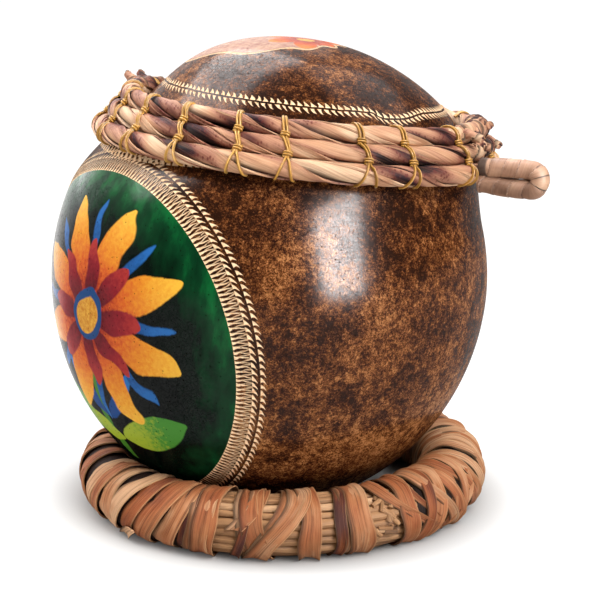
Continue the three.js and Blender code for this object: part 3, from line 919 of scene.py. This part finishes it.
# Each strip's place, width, slant, lay and tint, and for some its lap, bulge and hem.
ring_strips = [
    (-26.0, 5.0, 2.0, 9.8, 0.1), (-20.4, 8.6, 1.5, 10.6, 0.5),
    (-6.4, 7.8, -1.5, 10.2, 0.48), (-1.0, 7.8, 6.5, 10.75, 0.66), (8.2, 6.8, -0.5, 10.3, 0.56),
    (16.6, 3.8, 0.5, 10.0, 0.16), (22.0, 7.8, -0.5, 10.4, 0.62), (37.0, 6.6, -1.0, 10.4, 0.5),
]
wide_strips = [strip for strip in ring_strips if strip[1] > 7]
ring_strips += [(front - 1.3, width, slant, lay - 0.5, 0.75) for front, width, slant, lay, _ in wide_strips]
# A near-black first layer under the strips, except at the front: painted shade for the gaps.
for front in (*range(-105, -31, shade_layer_step), *range(45, 246, shade_layer_step)):
    ring_strips.append((front, shade_layer_width, 2.0, shade_layer_lay, shade_layer_tint, 0.1, 0.0, 0))
front = left_start
while front > left_end:
    width, lay = random.uniform(8, 11), 10.3 + 0.4 * (len(ring_strips) % 2)
    ring_strips.append((front, width, random.uniform(1, 8), lay, random.uniform(0.3, 0.95), 0.6, 0.3, 0))
    front -= random.uniform(0.6, 0.82) * width
front = right_start
while front < right_end:
    width, lay = random.uniform(2.2, 5.4), 10.1 + 0.4 * (len(ring_strips) % 3)
    ring_strips.append((front, width, random.uniform(-14, 4), lay, random.uniform(0.36, 0.9), 0.5, -0.3, 0))
    front += random.uniform(0.55, 0.95) * width
while front < back_end:
    width, lay = random.uniform(4, 9), 10.1 + 0.4 * (len(ring_strips) % 3)
    ring_strips.append((front, width, random.uniform(-8, 8), lay, random.uniform(0.25, 0.9), 0.5, -0.1, 0))
    front += random.uniform(0.6, 0.9) * width
sheets = [strip_sheet(number, *strip) for number, strip in enumerate(ring_strips)]
# Three short strips at the front: half a winding, a dark end and a loose flap.
sheets.append(strip_sheet(89, -13.4, 6.4, 8.0, 10.1, 0.68, begin=8, wind=190))
sheets.append(strip_sheet(90, -9.8, 3.2, 3.0, 10.2, 0.12, hem=0, begin=-100, wind=118))
sheets.append(strip_sheet(91, -36.5, 6.0, 16.0, 11.2, 0.9, hem=0, begin=-75, wind=50))
build("ring_leaf_strips", sheets, ring_leaf_finish(), ["ring_leaf_wrapping"], crease=50)

# Floor, light and camera. A plain pale floor glows away from the ring, so it shows white with a painted soft
# shadow.
# Some soft boxes light the matt surfaces and the others only show in the lacquer: a tall one at the right for the
# long highlight, and broad ones behind at the left for the sheen on lid and panel.

floor_reach = 6
floor_corners = [(x * floor_reach, y * floor_reach, 0) for x, y in ((-1, -1), (1, -1), (1, 1), (-1, 1))]
floor_mesh = bpy.data.meshes.new("floor")
floor_mesh.from_pydata(floor_corners, [], [(0, 1, 2, 3)])
floor = bpy.data.objects.new("floor", floor_mesh)
bpy.context.scene.collection.objects.link(floor)
floor_finish, shade = new_finish("pale_floor")
where = shade.add("TexCoord", out="Object")
# The floor's glow fades out near the ring: a painted soft shadow.
ring_foot, shadow_reach = (0.005, 0.0, 0.0), (0.06, 0.09)
away = where.add("VectorMath", {"operation": "DISTANCE"}, {0: where, 1: ring_foot}, out="Value")
surface(shade, Base_Color=paint("9c9a98"), Roughness=0.9, Specular_IOR_Level=0.0, Emission_Strength=0.72,
        Emission_Color=blend(rise(away, *shadow_reach), paint("000000"), paint("ffffff")))
floor_mesh.materials.append(floor_finish)

camera_aim = Vector((0.01123, 0.0, 0.0697))
camera_rise, camera_distance = math.radians(12.8), 0.55
camera_data = bpy.data.cameras.new("camera")
camera_data.lens, camera_data.sensor_width = 94.8, 36.0
camera_data.clip_start, camera_data.clip_end = 0.01, 50
camera = bpy.data.objects.new("camera", camera_data)
bpy.context.scene.collection.objects.link(camera)
camera.location = camera_aim + camera_distance * Vector((0, -math.cos(camera_rise), math.sin(camera_rise)))
camera.rotation_euler = (math.pi / 2 - camera_rise, 0, 0)
bpy.context.scene.camera = camera


def soft_box(name, azimuth, height, distance, size, power, shine=True, wash=True):
    """A rectangular light, by its direction from the gourd: degrees right of the camera, and degrees up.

    shine lets it show in gloss, and wash lets it light matt surfaces.
    """
    right, up = math.radians(azimuth), math.radians(height)
    lamp = bpy.data.lights.new(name, "AREA")
    lamp.shape, lamp.size, lamp.size_y, lamp.energy = "RECTANGLE", size[0], size[1], power
    holder = bpy.data.objects.new(name, lamp)
    bpy.context.scene.collection.objects.link(holder)
    way = Vector((math.sin(right) * math.cos(up), -math.cos(right) * math.cos(up), math.sin(up)))
    holder.location = Vector((0, 0, 0.08)) + way * distance
    holder.rotation_euler = way.to_track_quat("Z", "Y").to_euler()
    holder.visible_glossy, holder.visible_diffuse = shine, wash


soft_box("tall_box", 37, 17, 1.0, (0.36, 0.6), 55, wash=False)
soft_box("key_box", 38, 42, 1.0, (0.6, 0.6), 12, shine=False)
soft_box("left_box", -95, 38, 1.0, (0.6, 0.9), 7, shine=False)
soft_box("back_box", -150, 30, 1.1, (1.5, 0.9), 8, wash=False)
soft_box("lid_box", -128, 57, 1.1, (1.4, 0.65), 46, wash=False)
soft_box("far_box", 125, 55, 1.1, (0.8, 0.6), 6, wash=False)
sky = bpy.data.lights.new("overhead", "SUN")
sky.energy, sky.angle = 1.8, math.radians(50)
sky_holder = bpy.data.objects.new("overhead", sky)
bpy.context.scene.collection.objects.link(sky_holder)
sky_holder.visible_glossy = False
sky_holder.rotation_euler = Vector((0.25, -0.25, 1)).to_track_quat("Z", "Y").to_euler()

world = bpy.data.worlds.new("studio")
bpy.context.scene.world = world
world.use_nodes = True
air = Shade(world.node_tree)
bright_side = tuple(Vector((-0.6, 0.78, 0.17)).normalized())
toward = along(air.add("TexCoord", out="Generated"), bright_side)
glow = 0.08 + rise(toward, 0.05, 0.62) * 1.05
air.fill(world.node_tree.nodes["Background"], {"Color": (1, 1, 1, 1), "Strength": glow})

bpy.context.scene.view_settings.view_transform = "Standard"
